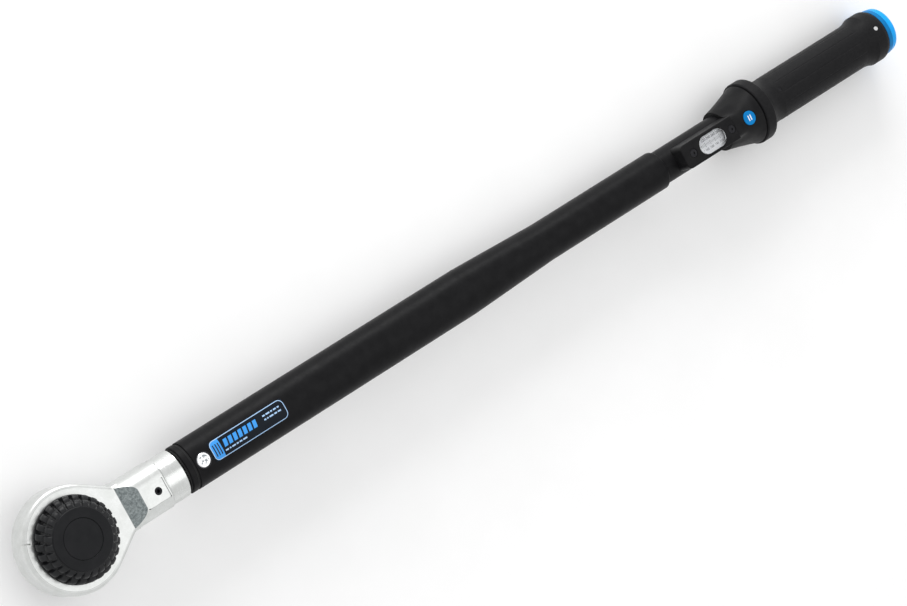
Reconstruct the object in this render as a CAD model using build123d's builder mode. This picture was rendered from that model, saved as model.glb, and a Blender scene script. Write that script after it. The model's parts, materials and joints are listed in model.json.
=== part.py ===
"""Click-type torque wrench with a push-through 3/4 inch square drive, as its separate pieces.

Frame, in millimetres: the origin is the centre of the drive at the plane where a socket seats. +Z runs
up the drive axis to the mushroom disc, and +X runs along the tool to the end of the handle. The tool's
centreline lies axis_height above that plane, halfway up the head.
"""
import os
from math import acos, atan2, cos, degrees, hypot, pi, radians, sin

from build123d import *

# ------------------------------------------------------------------ driving dimensions
# Head
square_size = 19.05
square_length = 23.0
head_radius = 39.5
head_thickness = 24.0
head_edge_radius = 3.1
neck_half_width = 18.7
neck_end_x = 43.0
neck_lap = 5.0
shank_start_x = 40.0
shank_half_height = 16.8
shank_corner_radius = 12.0
slope_end_x = 57.0
shank_end_x = 80.0
collar_end_x = 96.0
collar_half_width = 18.8
collar_half_height = 15.9
panel_x = (57.5, 77.5)
panel_y = (-9.8, 5.8)
panel_depth = 0.8
set_screw_x = 70.5
set_screw_y = -1.6
set_screw_radius = 2.9
set_screw_depth = 9.0
socket_radius = 1.75
socket_depth = 3.0
index_angle = 155
index_length = 6.0
index_width = 0.9

# Ratchet
wheel_teeth = 36
wheel_tip_radius = 27.0
wheel_root_radius = 24.6
tooth_angles = (2.2, 3.2)
wheel_hub_radius = 21.52
hub_bore_radius = 21.6
wheel_cavity_radius = 27.25
cavity_z = (5.0, 19.1)
cover_radius = 30.9
cover_z = (1.9, 4.9)
ring_z = (0.6, 1.8)
ring_radius = 32.2
pawl_half_width = 7.5
pawl_face_x = 22.0
pawl_back_x = 36.5
pawl_travel = 2.9
pawl_bore_end_x = 50.0
pawl_bore_radius = 3.4
ring_inner_radius = 29.2
ring_gap_width = 7.0
eye_angle = 7.5
eye_radius = 2.3
eye_hole_radius = 1.0

# Drive unit
disc_z = (24.5, 39.3)
disc_widest_z = 25.2
disc_radius = 32.0
disc_shoulder_radius = 31.6
disc_shoulder_z = 30.0
disc_top_radius = 22.3
disc_lugs = 26
flange_radius = 12.0
flange_top_z = 27.5
disc_floor_z = 31.0
button_radius = 14.8
rod_radius = 4.0
ball_radius = 3.5
ball_z = -11.0
ball_stand_out = 1.5
waist_radius = 2.08
button_z = (35.3, 39.1)
rod_top_z = 36.9
rod_bore_depth = 4.0
disc_screw_circle = 8.5
disc_screw_radius = 1.3
disc_screw_head_radius = 2.5
disc_screw_head = 1.6
lug_groove_radius = 1.5
lug_groove_length = 26.0

# Lever and click mechanism
pivot_x = 112.3
pivot_radius = 5.4
lever_boss_end_x = 122.3
lever_boss_half_width = 14.6
lever_boss_half_height = 12.6
lever_width = 16.0
lever_height = 18.0
lever_end_x = 204.3
toggle_x = (206.5, 214.5)
toggle_radius = 3.8
toggle_play = 0.2
toggle_half_height = 7.0
plunger_nose_radius = 6.4
plunger_x = (216.7, 246.0)
spring_end_x = 508.0
seat_end_x = 522.0
nut_x = (598.0, 634.0)
spindle_radius = 6.0

# Tubes
tube_start_x = 105.0
oval_end_x = 371.0
taper_end_x = 452.0
tube_end_x = 574.0
oval_half_width = 19.1
oval_half_height = 16.1
round_radius = 15.9
tube_wall = 2.0
tube_pin_x = 554.0
tube_pin_radius = 1.5
end_ring_x = (98.3, 103.0)
label_x = (120.5, 188.5)
label_y = (-6.8, 8.6)
label_thickness = 0.25
handle_tube_radius = 13.85
handle_bore_radius = 11.9
handle_tube_x = (530.0, 800.0)

# Scale housing
housing_x = (585.5, 641.8)
platform_corner_radius = 4.0
platform_base = 4.0
platform_half_width = 10.0
platform_height = 26.0
bell_x = (641.3, 671.5)
bell_start_radius = 16.9
bell_sections = 7
bell_points = 72
corner_fade = 0.45
crown_angle = 1.3
bell_mouth_radius = 25.3
window_x = 616.2
window_length = 27.5
window_width = 15.0
housing_screw_x = (595.5, 637.3)
badge_x = 657.4
badge_radius = 5.7
badge_seat_radius = 6.25
badge_z = (36.1, 37.9)
housing_screw_radius = 3.2
housing_screw_seat_radius = 3.6
screw_seat = 24.8
setting_travel = 6.5
strip_length = 39.4
strip_z = (19.4, 20.6)
channel_half_width = 8.0
channel_top = 22.4
lens_seat = 23.0
lens_top = 26.7

# Grip and lock
grip_start_x = 672.4
grip_radius = 19.3
grip_bore_radius = 14.2
grip_flange_radius = 26.8
grip_flange_x = 683.0
grip_neck_x = 700.0
flange_skirt_x = 688.5
bulge_x = (795.0, 806.0, 814.5)
bulge_rise_x = 801.5
bulge_radius = 21.9
grip_end_x = 819.3
grip_end_radius = 20.1
hub_x = (801.0, 813.0)
hub_pin_x = 810.3
grip_screw_x = 700.5
clock_angle = 16.0
grip_screw_radius = 1.6
hub_pin_radius = 2.0
cap_ring_x = 819.6
cap_ring_radius = 20.2
cap_x = 823.7
cap_radius = 19.9
cap_end_x = 830.0
cap_end_radius = 17.0

# ------------------------------------------------------------------ derived values and planes
axis_height = head_thickness / 2
clear = 0.08
fit = 0.02
through_z = (-10.0, 40.0)
tool_axis = Axis((0, 0, axis_height), (1, 0, 0))
lengthwise = Plane(origin=(0, 0, axis_height), x_dir=(1, 0, 0), z_dir=(0, -1, 0))
from_above = Plane.XY.offset(axis_height)


def across(x):
    """The plane square to the tool's centreline at x: its own x is +Y and its own y is up."""
    return Plane(origin=(x, 0, axis_height), x_dir=(0, 1, 0), z_dir=(1, 0, 0))


def bar(x0, x1, radius, mode=Mode.ADD):
    """A round bar, or a round bore with Mode.SUBTRACT, on the tool's centreline."""
    with BuildSketch(across(x0)) as section:
        Circle(radius)
    extrude(section.sketch, amount=x1 - x0, mode=mode)


def oval_bar(x0, x1, half_width, half_height, mode=Mode.ADD):
    """An oval bar, or an oval bore with Mode.SUBTRACT, on the tool's centreline."""
    with BuildSketch(across(x0)) as section:
        Ellipse(half_width, half_height)
    extrude(section.sketch, amount=x1 - x0, mode=mode)


def block_bar(x0, x1, width, height, mode=Mode.ADD):
    """A rectangular bar on the tool's centreline."""
    with BuildSketch(across(x0)) as section:
        Rectangle(width, height)
    extrude(section.sketch, amount=x1 - x0, mode=mode)


def disc(z0, z1, radius, mode=Mode.ADD, x=0, y=0):
    """A round disc, or a round bore with Mode.SUBTRACT, standing along Z."""
    with BuildSketch(Plane.XY.offset(z0)) as section:
        with Locations((x, y)):
            Circle(radius)
    extrude(section.sketch, amount=z1 - z0, mode=mode)


def coil(start, direction, length, radius, wire_radius, turns):
    """A helical compression spring as one swept wire."""
    with BuildLine() as path:
        Helix(pitch=length / turns, height=length, radius=radius, center=start, direction=direction)
    with BuildSketch(Plane(origin=path.line @ 0, z_dir=path.line % 0)) as section:
        Circle(wire_radius)
    sweep(section.sketch, path=path.line, is_frenet=True)


def wheel_outline(extra=0.0):
    """Corner points of the saw-toothed wheel, grown outwards by extra."""
    root = wheel_root_radius + extra
    tip = wheel_tip_radius + extra
    points = []
    for tooth in range(wheel_teeth):
        start = tooth * 360 / wheel_teeth
        points.append((root * cos(radians(start)), root * sin(radians(start))))
        for turn in tooth_angles:
            angle = radians(start + turn)
            points.append((tip * cos(angle), tip * sin(angle)))
    return points


def save(piece, name):
    """Label a finished piece and write its STEP file."""
    piece.part.label = name
    export_step(piece.part, f"parts/{name}.step")


os.makedirs("parts", exist_ok=True)

# ------------------------------------------------------------------ ratchet head
# The web runs from the round housing to the neck along the tangents of the housing.
neck_distance = hypot(neck_end_x, neck_half_width)
tangent_angle = atan2(neck_half_width, neck_end_x) + acos(head_radius / neck_distance)
tangent_x = head_radius * cos(tangent_angle)
tangent_y = head_radius * sin(tangent_angle)

with BuildPart() as ratchet_head:
    # Housing and neck
    with BuildSketch(Plane.XY):
        Circle(head_radius)
        with BuildLine():
            Polyline(
                (tangent_x, tangent_y),
                (neck_end_x, neck_half_width),
                (neck_end_x + neck_lap, neck_half_width),
                (neck_end_x + neck_lap, -neck_half_width),
                (neck_end_x, -neck_half_width),
                (tangent_x, -tangent_y),
                (0, 0),
                close=True,
            )
        make_face()
    extrude(amount=head_thickness)
    fillet(edges().filter_by(Plane.XY).group_by(Axis.Z)[-1], head_edge_radius)
    fillet(edges().filter_by(Plane.XY).group_by(Axis.Z)[0], head_edge_radius)
    # Shank with its two sloped cast facets
    with BuildSketch(across(shank_start_x)):
        RectangleRounded(2 * neck_half_width, 2 * shank_half_height, shank_corner_radius)
    extrude(amount=shank_end_x - shank_start_x)
    chamfer(faces().sort_by(Axis.X)[-1].edges(), 1.6)
    with BuildSketch(lengthwise) as slope:
        with BuildLine():
            Polyline(
                (shank_start_x - 1, axis_height),
                (neck_end_x, axis_height),
                (slope_end_x, shank_half_height),
                (slope_end_x, shank_half_height + 3),
                (shank_start_x - 1, shank_half_height + 3),
                close=True,
            )
        make_face()
        mirror(about=Plane.XZ)
    extrude(slope.sketch, amount=head_radius, both=True, mode=Mode.SUBTRACT)
    # Polished collar
    oval_bar(shank_end_x - 1, collar_end_x, collar_half_width, collar_half_height)
    chamfer(faces().sort_by(Axis.X)[-1].edges(), 1.0)
    # Milled panel and set screw hole
    with BuildSketch(from_above.offset(shank_half_height - panel_depth)) as panel:
        with Locations((sum(panel_x) / 2, sum(panel_y) / 2)):
            Rectangle(panel_x[1] - panel_x[0], panel_y[1] - panel_y[0])
    extrude(panel.sketch, amount=3, mode=Mode.SUBTRACT)
    set_screw_top = axis_height + shank_half_height - panel_depth
    set_screw_floor = set_screw_top - set_screw_depth
    disc(set_screw_floor, set_screw_top + 1, set_screw_radius, Mode.SUBTRACT, set_screw_x, set_screw_y)
    # Lever inside the tube, with a groove for the toggle at its end
    oval_bar(collar_end_x - 1, lever_boss_end_x, lever_boss_half_width, lever_boss_half_height)
    block_bar(pivot_x, lever_end_x, lever_width, lever_height)
    with BuildSketch(from_above):
        with Locations((toggle_x[0], 0)):
            Circle(toggle_radius + toggle_play)
    extrude(amount=lever_height, both=True, mode=Mode.SUBTRACT)
    disc(through_z[0], through_z[1], pivot_radius + clear, Mode.SUBTRACT, pivot_x)
    # Wheel cavity, cover seat, ring groove and the upper hub bore
    disc(cavity_z[0] - 1, cavity_z[1], wheel_cavity_radius, Mode.SUBTRACT)
    disc(-1, cavity_z[0], cover_radius + 0.1, Mode.SUBTRACT)
    disc(ring_z[0] - 0.05, ring_z[1] + 0.05, ring_radius + 0.1, Mode.SUBTRACT)
    disc(axis_height, head_thickness + 1, hub_bore_radius, Mode.SUBTRACT)
    # Pawl pocket and its spring bore
    pocket_end_x = pawl_back_x + pawl_travel + 0.6
    with BuildSketch(Plane.XY.offset(cavity_z[0])) as pocket:
        with Locations((pocket_end_x / 2, 0)):
            Rectangle(pocket_end_x, 2 * pawl_half_width + 0.4)
    extrude(pocket.sketch, amount=cavity_z[1] - cavity_z[0], mode=Mode.SUBTRACT)
    bar(pocket_end_x - 1, pawl_bore_end_x, pawl_bore_radius, Mode.SUBTRACT)
    # Index mark on the rim
    with BuildSketch(Plane.XY.offset(head_thickness - head_edge_radius)) as mark:
        with PolarLocations(head_radius, 1, start_angle=index_angle):
            Rectangle(2 * index_length, index_width)
    extrude(mark.sketch, amount=head_edge_radius + 1, mode=Mode.SUBTRACT)
save(ratchet_head, "ratchet_head")

with BuildPart() as cover_plate:
    disc(cover_z[0], cover_z[1], cover_radius)
    disc(cover_z[0] - 1, cover_z[1] + 1, hub_bore_radius, Mode.SUBTRACT)
    chamfer(edges().filter_by(GeomType.CIRCLE).group_by(Axis.Z)[0], 0.4)
save(cover_plate, "cover_plate")

# The retaining ring is open towards the neck, with an eye at each end for the pliers.
eye_distance = ring_inner_radius - 0.7
with BuildPart() as retaining_ring:
    with BuildSketch(Plane.XY.offset(ring_z[0])):
        Circle(ring_radius)
        Circle(ring_inner_radius, mode=Mode.SUBTRACT)
        with Locations((ring_radius, 0)):
            Rectangle(2 * ring_gap_width, ring_gap_width, mode=Mode.SUBTRACT)
        for side in (-1, 1):
            with PolarLocations(eye_distance, 1, start_angle=side * eye_angle):
                Circle(eye_radius)
        for side in (-1, 1):
            with PolarLocations(eye_distance, 1, start_angle=side * eye_angle):
                Circle(eye_hole_radius, mode=Mode.SUBTRACT)
    extrude(amount=ring_z[1] - ring_z[0])
save(retaining_ring, "retaining_ring")

with BuildPart() as head_set_screw:
    set_screw_face = set_screw_top - 0.5
    disc(set_screw_floor + 1, set_screw_face, set_screw_radius - fit, x=set_screw_x, y=set_screw_y)
    chamfer(edges().filter_by(GeomType.CIRCLE).sort_by(Axis.Z)[-1], 0.4)
    with BuildSketch(Plane.XY.offset(set_screw_face)) as socket:
        with Locations((set_screw_x, set_screw_y)):
            RegularPolygon(socket_radius, 6)
    extrude(socket.sketch, amount=-socket_depth, mode=Mode.SUBTRACT)
save(head_set_screw, "head_set_screw")

# ------------------------------------------------------------------ ratchet wheel and pawl
with BuildPart() as ratchet_wheel:
    with BuildSketch(Plane.XY.offset(cavity_z[0] + 0.1)):
        Polygon(*wheel_outline(), align=None)
    extrude(amount=cavity_z[1] - cavity_z[0] - 0.2)
    disc(0, head_thickness, wheel_hub_radius)
    chamfer(edges().filter_by(GeomType.CIRCLE).group_by(Axis.Z)[0], 0.6)
    chamfer(edges().filter_by(GeomType.CIRCLE).group_by(Axis.Z)[-1], 0.6)
    with BuildSketch(Plane.XY):
        Rectangle(square_size + 2 * clear, square_size + 2 * clear)
        with Locations((0, square_size / 2)):
            Rectangle(2 * ball_radius + 0.6, 2 * ball_stand_out + 0.8)
    extrude(amount=head_thickness, mode=Mode.SUBTRACT)
save(ratchet_wheel, "ratchet_wheel")

# The pawl's face is the wheel's own saw-tooth outline, cut with a little clearance.
with BuildPart() as pawl:
    with BuildSketch(Plane.XY.offset(cavity_z[0] + 0.2)):
        with Locations(((pawl_face_x + pawl_back_x) / 2, 0)):
            Rectangle(pawl_back_x - pawl_face_x, 2 * pawl_half_width)
        Polygon(*wheel_outline(0.12), align=None, mode=Mode.SUBTRACT)
    extrude(amount=cavity_z[1] - cavity_z[0] - 0.4)
    bar(pawl_back_x - 4, pawl_back_x + 1, pawl_bore_radius, Mode.SUBTRACT)
save(pawl, "pawl")

with BuildPart() as pawl_spring:
    pawl_spring_length = pawl_bore_end_x - pawl_back_x + 3
    pawl_spring_start = (pawl_back_x - 3.5, 0, axis_height)
    coil(pawl_spring_start, (1, 0, 0), pawl_spring_length, radius=2.5, wire_radius=0.4, turns=6)
save(pawl_spring, "pawl_spring")

# ------------------------------------------------------------------ drive unit
ball_y = square_size / 2 + ball_stand_out - ball_radius

with BuildPart() as square_drive:
    with BuildSketch(Plane.XY.offset(-square_length)):
        RectangleRounded(square_size, square_size, 1.2)
    extrude(amount=square_length + head_thickness + 0.2)
    chamfer(faces().sort_by(Axis.Z)[0].edges(), 1.2)
    disc(head_thickness + 0.1, flange_top_z, flange_radius)
    # Bore for the release rod, and the cross hole for the ball
    disc(rod_bore_depth - square_length, flange_top_z + 1, rod_radius + 0.1, Mode.SUBTRACT)
    with BuildSketch(Plane.XZ) as cross_hole:
        with Locations((0, ball_z)):
            Circle(ball_radius + 0.05)
    extrude(cross_hole.sketch, amount=-square_size, mode=Mode.SUBTRACT)
    # Tapped holes for the disc's screws
    with BuildSketch(Plane.XY.offset(flange_top_z)) as taps:
        with PolarLocations(disc_screw_circle, 3):
            Circle(disc_screw_radius)
    extrude(taps.sketch, amount=-2.5, mode=Mode.SUBTRACT)
save(square_drive, "square_drive")

# The side of the mushroom disc is a cone, cut by a sloping groove between each pair of finger lugs.
cone_lean = degrees(atan2(disc_radius - disc_top_radius, disc_z[1] - disc_widest_z))
with BuildPart() as mushroom_disc:
    with BuildSketch(Plane.XZ):
        with BuildLine():
            Polyline(
                (0, disc_z[0]),
                (disc_radius - 1, disc_z[0]),
                (disc_radius, disc_widest_z),
                (disc_shoulder_radius, disc_shoulder_z),
                (disc_top_radius + 1, disc_z[1] - 0.9),
                (disc_top_radius, disc_z[1]),
                (0, disc_z[1]),
                close=True,
            )
        make_face()
    revolve(axis=Axis.Z)
    with PolarLocations((disc_radius + disc_top_radius) / 2 + 0.9, disc_lugs):
        with Locations((0, 0, (disc_z[0] + disc_z[1]) / 2 + 0.6)):
            Cylinder(
                lug_groove_radius,
                lug_groove_length,
                rotation=(0, -cone_lean, 0),
                mode=Mode.SUBTRACT,
            )
    disc(disc_floor_z, disc_z[1] + 1, button_radius + 0.15, Mode.SUBTRACT)
    disc(disc_z[0] - 1, flange_top_z, flange_radius + fit, Mode.SUBTRACT)
    disc(disc_z[0] - 1, disc_floor_z + 1, rod_radius + 0.2, Mode.SUBTRACT)
    with BuildSketch(Plane.XY.offset(flange_top_z - 1)) as screw_holes:
        with PolarLocations(disc_screw_circle, 3):
            Circle(disc_screw_radius + 0.2)
    extrude(screw_holes.sketch, amount=disc_floor_z - flange_top_z + 2, mode=Mode.SUBTRACT)
    with BuildSketch(Plane.XY.offset(disc_floor_z - disc_screw_head)) as screw_seats:
        with PolarLocations(disc_screw_circle, 3):
            Circle(disc_screw_head_radius + 0.1)
    extrude(screw_seats.sketch, amount=2 * disc_screw_head, mode=Mode.SUBTRACT)
save(mushroom_disc, "mushroom_disc")

with BuildPart() as disc_screws:
    with BuildSketch(Plane.XY.offset(flange_top_z - 2.3)):
        with PolarLocations(disc_screw_circle, 3):
            Circle(disc_screw_radius - fit)
    extrude(amount=disc_floor_z - flange_top_z + 1)
    with BuildSketch(Plane.XY.offset(disc_floor_z - disc_screw_head)):
        with PolarLocations(disc_screw_circle, 3):
            Circle(disc_screw_head_radius)
    extrude(amount=disc_screw_head - 0.2)
save(disc_screws, "disc_screws")

with BuildPart() as release_button:
    disc(button_z[0], button_z[1], button_radius)
    fillet(edges().filter_by(GeomType.CIRCLE).sort_by(Axis.Z)[-1], 0.25)
    disc(button_z[0] - 1, rod_top_z, rod_radius + fit, Mode.SUBTRACT)
save(release_button, "release_button")

# The rod holds the ball out with its land, and lets it in where the waist comes level with it.
with BuildPart() as release_rod:
    with BuildSketch(Plane.XZ):
        with BuildLine():
            Polyline(
                (0, ball_z - 4.5),
                (rod_radius, ball_z - 4.5),
                (rod_radius, ball_z - 0.84),
                (waist_radius, ball_z + 3.0),
                (waist_radius, ball_z + 4.5),
                (rod_radius, ball_z + 6.5),
                (rod_radius, rod_top_z),
                (0, rod_top_z),
                close=True,
            )
        make_face()
    revolve(axis=Axis.Z)
save(release_rod, "release_rod")

with BuildPart() as release_spring:
    release_spring_length = button_z[0] - disc_floor_z - 1
    release_spring_start = (0, 0, disc_floor_z + 0.5)
    coil(release_spring_start, (0, 0, 1), release_spring_length, radius=5.2, wire_radius=0.35, turns=2)
save(release_spring, "release_spring")

with BuildPart() as detent_ball:
    with Locations((0, ball_y, ball_z)):
        Sphere(ball_radius)
save(detent_ball, "detent_ball")

# ------------------------------------------------------------------ tubes and the mouth of the tube
bore_half_width = oval_half_width - tube_wall
bore_half_height = oval_half_height - tube_wall
with BuildPart() as main_tube:
    oval_bar(tube_start_x, oval_end_x, oval_half_width, oval_half_height)
    with BuildSketch(across(oval_end_x)):
        Ellipse(oval_half_width, oval_half_height)
    with BuildSketch(across(taper_end_x)):
        Circle(round_radius)
    loft()
    bar(taper_end_x, tube_end_x, round_radius)
    fillet(faces().sort_by(Axis.X)[-1].edges(), 1.4)
    oval_bar(tube_start_x - 1, oval_end_x, bore_half_width, bore_half_height, Mode.SUBTRACT)
    with BuildSketch(across(oval_end_x)) as bore_start:
        Ellipse(bore_half_width, bore_half_height)
    with BuildSketch(across(taper_end_x)) as bore_end:
        Circle(round_radius - tube_wall)
    loft([bore_start.sketch.face(), bore_end.sketch.face()], mode=Mode.SUBTRACT)
    bar(taper_end_x, tube_end_x + 1, round_radius - tube_wall, Mode.SUBTRACT)
    disc(through_z[0], through_z[1], pivot_radius + 1, Mode.SUBTRACT, pivot_x)
    disc(through_z[0], axis_height, tube_pin_radius, Mode.SUBTRACT, tube_pin_x)
save(main_tube, "main_tube")

slot_width = 5.4
slot_half_length = setting_travel + slot_width / 2 + 0.1
with BuildPart() as handle_tube:
    bar(handle_tube_x[0], handle_tube_x[1], handle_tube_radius)
    bar(handle_tube_x[0] - 1, handle_tube_x[1] + 1, handle_bore_radius, Mode.SUBTRACT)
    with BuildSketch(from_above) as slot:
        with Locations((window_x, 0)):
            SlotOverall(2 * slot_half_length, slot_width)
    extrude(slot.sketch, amount=platform_height, mode=Mode.SUBTRACT)
    disc(through_z[0], axis_height, tube_pin_radius, Mode.SUBTRACT, tube_pin_x)
save(handle_tube, "handle_tube")

with BuildPart() as tube_pin:
    tube_pin_z = (axis_height - round_radius + 0.3, axis_height - handle_bore_radius - 0.1)
    disc(tube_pin_z[0], tube_pin_z[1], tube_pin_radius - fit, x=tube_pin_x)
save(tube_pin, "tube_pin")

mouth_half_width = 15.7
mouth_half_height = 13.3
with BuildPart() as end_ring:
    oval_bar(end_ring_x[0], end_ring_x[1], collar_half_width + 0.1, collar_half_height + 0.1)
    fillet(edges().group_by(Axis.X)[0], 0.5)
    fillet(edges().group_by(Axis.X)[-1], 0.5)
    oval_bar(end_ring_x[1] - 1, tube_start_x + 0.7, bore_half_width - 0.03, bore_half_height - 0.03)
    oval_bar(end_ring_x[0] - 1, tube_start_x + 4, mouth_half_width, mouth_half_height, Mode.SUBTRACT)
save(end_ring, "end_ring")

with BuildPart() as dust_seal:
    oval_bar(collar_end_x + 1, end_ring_x[0], 17.4, 14.5)
    oval_bar(collar_end_x, end_ring_x[0] + 1, mouth_half_width, mouth_half_height, Mode.SUBTRACT)
save(dust_seal, "dust_seal")

with BuildPart() as tube_gasket:
    oval_bar(end_ring_x[1], tube_start_x, 18.0, 15.0)
    oval_bar(end_ring_x[1] - 1, tube_start_x + 1, bore_half_width, bore_half_height, Mode.SUBTRACT)
save(tube_gasket, "tube_gasket")

pin_half_length = oval_half_height + 0.7
with BuildPart() as pivot_pin:
    disc(axis_height - pin_half_length, axis_height + pin_half_length, pivot_radius, x=pivot_x)
    chamfer(edges().filter_by(GeomType.CIRCLE), 0.5)
save(pivot_pin, "pivot_pin")

with BuildPart() as pivot_bushes:
    for z0 in (axis_height - oval_half_height - 0.2, axis_height + oval_half_height - 2.6):
        disc(z0, z0 + 2.8, pivot_radius + 1, x=pivot_x)
    disc(through_z[0], through_z[1], pivot_radius, Mode.SUBTRACT, pivot_x)
save(pivot_bushes, "pivot_bushes")

with BuildPart() as label_plate:
    with BuildSketch(across(label_x[0])):
        Ellipse(oval_half_width + label_thickness, oval_half_height + label_thickness)
        Ellipse(oval_half_width, oval_half_height, mode=Mode.SUBTRACT)
        with Locations((sum(label_y) / 2, oval_half_height)):
            Rectangle(label_y[1] - label_y[0], 10, mode=Mode.INTERSECT)
    extrude(amount=label_x[1] - label_x[0])
save(label_plate, "label_plate")

# ------------------------------------------------------------------ scale housing
platform_top = axis_height + platform_height


def bell_outline(share):
    """Points round the bell: the platform's section at share 0, and a circle at share 1.

    The platform's corners are rounded away over the first part of the bell.
    """
    opened = 0.75 * share + 0.25 * share**2
    rounding = min(1, share / corner_fade)
    points = []
    for step in range(bell_points):
        from_top = min(step, bell_points - step) * 2 * pi / bell_points
        wall = platform_half_width / max(sin(from_top), 0.001)
        roof = platform_height / max(cos(from_top), 0.2)
        edged = (wall**-8 + roof**-8) ** (-1 / 8) if from_top < pi / 3 else 0.0
        edged = (edged**8 + bell_start_radius**8) ** (1 / 8)
        crown = cos(min(1, from_top / crown_angle) * pi / 2) ** 2
        rounded = bell_start_radius + (platform_height - bell_start_radius) * crown
        radius = edged + rounding * (rounded - edged)
        radius += opened * (bell_mouth_radius - radius)
        angle = 2 * pi * step / bell_points
        points.append((radius * sin(angle), radius * cos(angle)))
    return points


with BuildPart() as scale_housing:
    # Platform on top of the handle tube
    with BuildSketch(from_above.offset(platform_base)):
        with Locations((sum(housing_x) / 2, 0)):
            Rectangle(housing_x[1] - housing_x[0], 2 * platform_half_width)
    extrude(amount=platform_height - platform_base)
    fillet(edges().filter_by(Axis.Z).group_by(Axis.X)[0], platform_corner_radius)
    fillet(edges().group_by(Axis.Z)[-1], 0.9)
    # Bell that opens from the platform's own section to the round mouth facing the grip
    for step in range(bell_sections):
        share = step / (bell_sections - 1)
        with BuildSketch(across(bell_x[0] + share * (bell_x[1] - bell_x[0]))):
            with BuildLine():
                Spline(*bell_outline(share), periodic=True)
            make_face()
    loft()
    bar(bell_x[1] - 5, bell_x[1] + 1, bell_mouth_radius - 3, Mode.SUBTRACT)
    bar(housing_x[0] - 1, bell_x[1] + 1, handle_tube_radius + fit, Mode.SUBTRACT)
    # Channel for the scale strip and the window above it
    with BuildSketch(from_above) as channel:
        with Locations((window_x, 0)):
            Rectangle(strip_length + 2 * setting_travel + 0.8, 2 * channel_half_width)
    extrude(channel.sketch, amount=channel_top, mode=Mode.SUBTRACT)
    with BuildSketch(from_above.offset(channel_top - 1)) as window:
        with Locations((window_x, 0)):
            SlotOverall(window_length, window_width)
    extrude(window.sketch, amount=8, mode=Mode.SUBTRACT)
    # Seats for the screws and the badge
    for x in housing_screw_x:
        disc(axis_height + lens_seat, platform_top + 1, 1.1, Mode.SUBTRACT, x)
        disc(axis_height + screw_seat, platform_top + 1, housing_screw_seat_radius, Mode.SUBTRACT, x)
    disc(badge_z[0], platform_top + 1, badge_seat_radius, Mode.SUBTRACT, badge_x)
save(scale_housing, "scale_housing")

with BuildPart() as scale_lens:
    with BuildSketch(from_above.offset(lens_seat)):
        with Locations((window_x, 0)):
            SlotOverall(window_length - 2 * fit, window_width - 2 * fit)
    extrude(amount=lens_top - lens_seat)
    fillet(edges().group_by(Axis.Z)[-1], 1.2)
save(scale_lens, "scale_lens")

with BuildPart() as housing_screws:
    for x in housing_screw_x:
        disc(axis_height + lens_seat + 0.1, axis_height + screw_seat + 0.1, 1.1 - fit, x=x)
        disc(axis_height + screw_seat, platform_top - 0.2, housing_screw_radius, x=x)
        with BuildSketch(from_above.offset(platform_height - 0.2)) as recess:
            with Locations((x, 0)):
                RegularPolygon(1.3, 6)
        extrude(recess.sketch, amount=-0.7, mode=Mode.SUBTRACT)
save(housing_screws, "housing_screws")

with BuildPart() as indicator_badge:
    disc(badge_z[0], badge_z[1], badge_radius, x=badge_x)
    fillet(edges().filter_by(GeomType.CIRCLE).sort_by(Axis.Z)[-1], 0.4)
save(indicator_badge, "indicator_badge")

# ------------------------------------------------------------------ click mechanism
with BuildPart() as toggle_link:
    with BuildSketch(from_above):
        with Locations((toggle_x[0], 0), (toggle_x[1], 0)):
            Circle(toggle_radius)
        with Locations((sum(toggle_x) / 2, 0)):
            Rectangle(toggle_x[1] - toggle_x[0], 5)
    extrude(amount=toggle_half_height, both=True)
save(toggle_link, "toggle_link")

with BuildPart() as plunger:
    oval_bar(plunger_x[0], plunger_x[1], bore_half_width - 0.4, bore_half_height - 0.4)
    bar(plunger_x[1] - 1, plunger_x[1] + 9, plunger_nose_radius)
    chamfer(faces().sort_by(Axis.X)[-1].edges(), 1)
    with BuildSketch(from_above):
        with Locations((toggle_x[1], 0)):
            Circle(toggle_radius + toggle_play)
    extrude(amount=oval_half_height, both=True, mode=Mode.SUBTRACT)
save(plunger, "plunger")

spring_wire_radius = 2.3
spring_start_x = plunger_x[1] + spring_wire_radius + 0.2
spring_length = spring_end_x - spring_wire_radius - 0.2 - spring_start_x
with BuildPart() as main_spring:
    spring_start = (spring_start_x, 0, axis_height)
    coil(spring_start, (1, 0, 0), spring_length, radius=9.3, wire_radius=spring_wire_radius, turns=22)
save(main_spring, "main_spring")

# ------------------------------------------------------------------ setting mechanism
scale_screw_radius = 1.5

with BuildPart() as spring_seat:
    bar(spring_end_x - 8, spring_end_x, plunger_nose_radius)
    chamfer(faces().sort_by(Axis.X)[0].edges(), 1)
    bar(spring_end_x, seat_end_x, 13.5)
save(spring_seat, "spring_seat")

with BuildPart() as push_sleeve:
    bar(seat_end_x, nut_x[0], 11.5)
    bar(seat_end_x - 1, nut_x[0] + 1, 9.0, Mode.SUBTRACT)
save(push_sleeve, "push_sleeve")

with BuildPart() as adjuster_nut:
    bar(nut_x[0], nut_x[1], 11.6)
    bar(nut_x[0] - 1, nut_x[1] + 1, spindle_radius + 0.3, Mode.SUBTRACT)
    disc(axis_height + 8, axis_height + 12, scale_screw_radius, Mode.SUBTRACT, window_x)
save(adjuster_nut, "adjuster_nut")

with BuildPart() as scale_slide:
    with BuildSketch(from_above.offset(strip_z[0])):
        with Locations((window_x, 0)):
            Rectangle(strip_length, 2 * channel_half_width - 0.8)
    extrude(amount=strip_z[1] - strip_z[0])
    with BuildSketch(from_above.offset(handle_tube_radius + 0.4)):
        with Locations((window_x, 0)):
            Rectangle(10, 8)
    extrude(amount=strip_z[0] - handle_tube_radius - 0.4)
    disc(axis_height, axis_height + 18, scale_screw_radius, Mode.SUBTRACT, window_x)
save(scale_slide, "scale_slide")

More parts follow.
